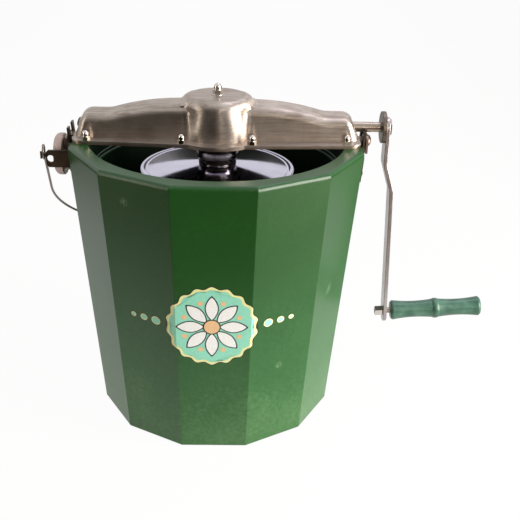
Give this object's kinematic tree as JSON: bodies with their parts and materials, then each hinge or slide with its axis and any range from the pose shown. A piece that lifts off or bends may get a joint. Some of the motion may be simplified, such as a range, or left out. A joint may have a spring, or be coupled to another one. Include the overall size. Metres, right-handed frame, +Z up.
{
  "type": "hand crank ice cream freezer",
  "caption": "Faceted tub with a lift-off gear frame, side hand crank, bevel gears that turn can and dasher opposite ways, a wire bail handle and a clamp knob.",
  "frame": {"origin": "centre of the tub's resting face", "axes": "+Z up along the can's axis, +X towards the crank along its shaft, +Y towards the side the bail hangs on"},
  "size_m": [0.5924, 0.362, 0.4334],
  "materials": {
    "tub_plastic": "satin, lightly mottled moulding",
    "bearing_plastic": "smooth",
    "black_plastic": "smooth",
    "cover_steel": "satin",
    "plate_steel": "satin",
    "bracket_steel": "satin, darker",
    "arm_steel": "satin flat bar",
    "shaft_steel": "turned",
    "wire_steel": "drawn wire",
    "bright_steel": "bright plated",
    "lid_steel": "polished",
    "can_steel": "smooth",
    "cast_iron": "black",
    "cast_metal": "tumbled, metallic grey brown",
    "dasher_aluminium": "cast",
    "blade_wood": "plain",
    "grip_wood": "green enamel"
  },
  "bodies": {
    "tub": {"tub": "tub_plastic", "pivot_socket": "bearing_plastic", "latch_bracket": "bracket_steel", "guide_bracket": "bracket_steel", "bracket_screws": "bright_steel", "bail_pivot_screw": "bright_steel"},
    "gear_frame": {"base_plate": "plate_steel", "gear_cover": "cover_steel", "cover_studs": "bright_steel", "cover_acorn_nuts": "bright_steel", "centre_bolt": "bright_steel", "top_washer": "bright_steel", "top_acorn_nut": "bright_steel", "inner_bearing": "cast_iron", "outer_bearing": "cast_iron", "hole_plug": "black_plastic", "guide_button": "cast_metal"},
    "clamp_knob": {"clamp_knob": "cast_metal"},
    "bail": {"bail_wire": "wire_steel"},
    "crank": {"crank_shaft": "shaft_steel", "drive_pinion": "cast_iron", "pinion_pin": "shaft_steel", "shaft_collar": "shaft_steel", "crank_disc": "plate_steel", "crank_arm": "arm_steel", "crank_nut": "plate_steel", "grip_rod": "shaft_steel", "rod_nut": "bright_steel"},
    "grip": {"crank_grip": "grip_wood"},
    "can_gear": {"can_drive_gear": "cast_iron", "drive_collar": "bright_steel"},
    "dasher_gear": {"dasher_drive_gear": "cast_iron", "retaining_ring": "shaft_steel", "dasher_socket": "shaft_steel"},
    "can": {"freezer_can": "can_steel", "can_pivot_pin": "shaft_steel", "dasher_foot_socket": "shaft_steel"},
    "lid": {"can_lid": "lid_steel", "lid_hub": "bright_steel", "lid_claw_ring": "cast_iron"},
    "dasher": {"dasher_stem": "shaft_steel", "dasher_frame": "dasher_aluminium", "scraper_blades": "blade_wood", "dasher_paddles": "dasher_aluminium"}
  },
  "joints": [
    {"name": "frame_lift", "type": "slide", "parent": "tub", "child": "gear_frame", "axis": [0, 0, 1], "range_m": [0, 0.12]},
    {"name": "crank_turn", "type": "hinge", "parent": "gear_frame", "child": "crank", "pos_m": [0.206, 0, 0.381], "axis": [1, 0, 0], "continuous": true},
    {"name": "grip_spin", "type": "hinge", "parent": "crank", "child": "grip", "pos_m": [0.23222, 0, 0.1182], "axis": [0.9976, 0, 0.0698], "continuous": true},
    {"name": "can_gear_turn", "type": "hinge", "parent": "gear_frame", "child": "can_gear", "pos_m": [0, 0, 0.381], "axis": [0, 0, 1], "continuous": true},
    {"name": "dasher_gear_turn", "type": "hinge", "parent": "gear_frame", "child": "dasher_gear", "pos_m": [0, 0, 0.381], "axis": [0, 0, 1], "continuous": true},
    {"name": "can_turn", "type": "hinge", "parent": "tub", "child": "can", "pos_m": [0, 0, 0.03], "axis": [0, 0, 1], "continuous": true},
    {"name": "dasher_turn", "type": "hinge", "parent": "can", "child": "dasher", "pos_m": [0, 0, 0.034], "axis": [0, 0, 1], "continuous": true},
    {"name": "lid_lift", "type": "slide", "parent": "can", "child": "lid", "axis": [0, 0, 1], "range_m": [0, 0.05]},
    {"name": "knob_turn", "type": "hinge", "parent": "gear_frame", "child": "clamp_knob", "pos_m": [-0.19, 0, 0.339], "axis": [-1, 0, 0], "range_deg": [-360, 1080]},
    {"name": "bail_swing", "type": "hinge", "parent": "tub", "child": "bail", "pos_m": [-0.2135, -0.029, 0.3505], "axis": [0.9897, 0.1432, 0], "range_deg": [0, 138]}
  ],
  "couplings": [
    {"joint": "can_gear_turn", "follows": "crank_turn", "ratio": 0.4},
    {"joint": "dasher_gear_turn", "follows": "crank_turn", "ratio": -0.4},
    {"joint": "can_turn", "follows": "crank_turn", "ratio": 0.4},
    {"joint": "dasher_turn", "follows": "crank_turn", "ratio": -0.8},
    {"joint": "lid_lift", "follows": "frame_lift", "ratio": 0.4}
  ]
}
